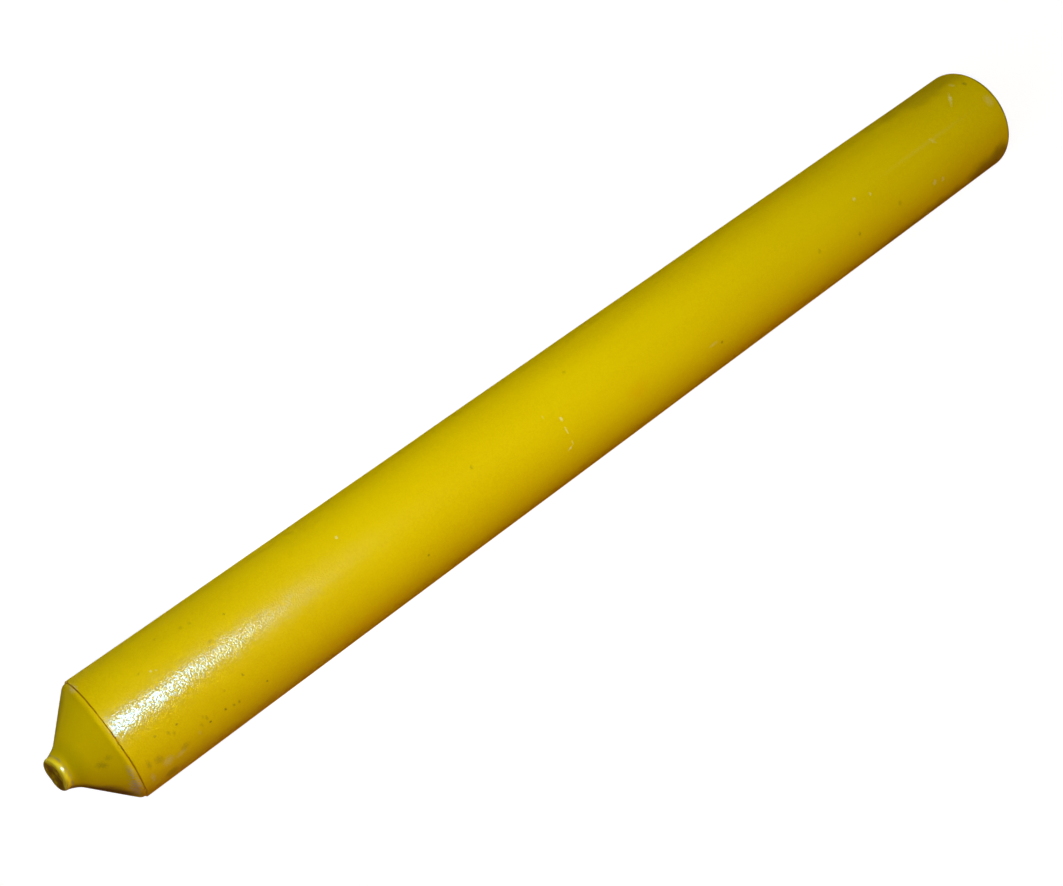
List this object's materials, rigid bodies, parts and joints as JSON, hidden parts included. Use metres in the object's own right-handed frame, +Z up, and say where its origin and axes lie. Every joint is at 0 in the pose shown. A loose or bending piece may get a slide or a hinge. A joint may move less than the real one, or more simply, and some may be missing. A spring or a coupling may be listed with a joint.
{
  "type": "wax crayon",
  "caption": "Bare yellow wax crayon: a parallel round stick with a flat butt, a conical point and a small worn nub, standing on its butt.",
  "frame": {"origin": "centre of the flat butt face that the crayon stands on", "axes": "+Z up the axis from the butt to the marking tip; -Y is the side that the worn tip slants towards; +X completes the right-handed frame"},
  "size_m": [0.009, 0.009, 0.0916],
  "materials": {
    "wax": "satin yellow wax, lightly scuffed"
  },
  "bodies": {
    "root": {"crayon": "wax"}
  },
  "joints": []
}
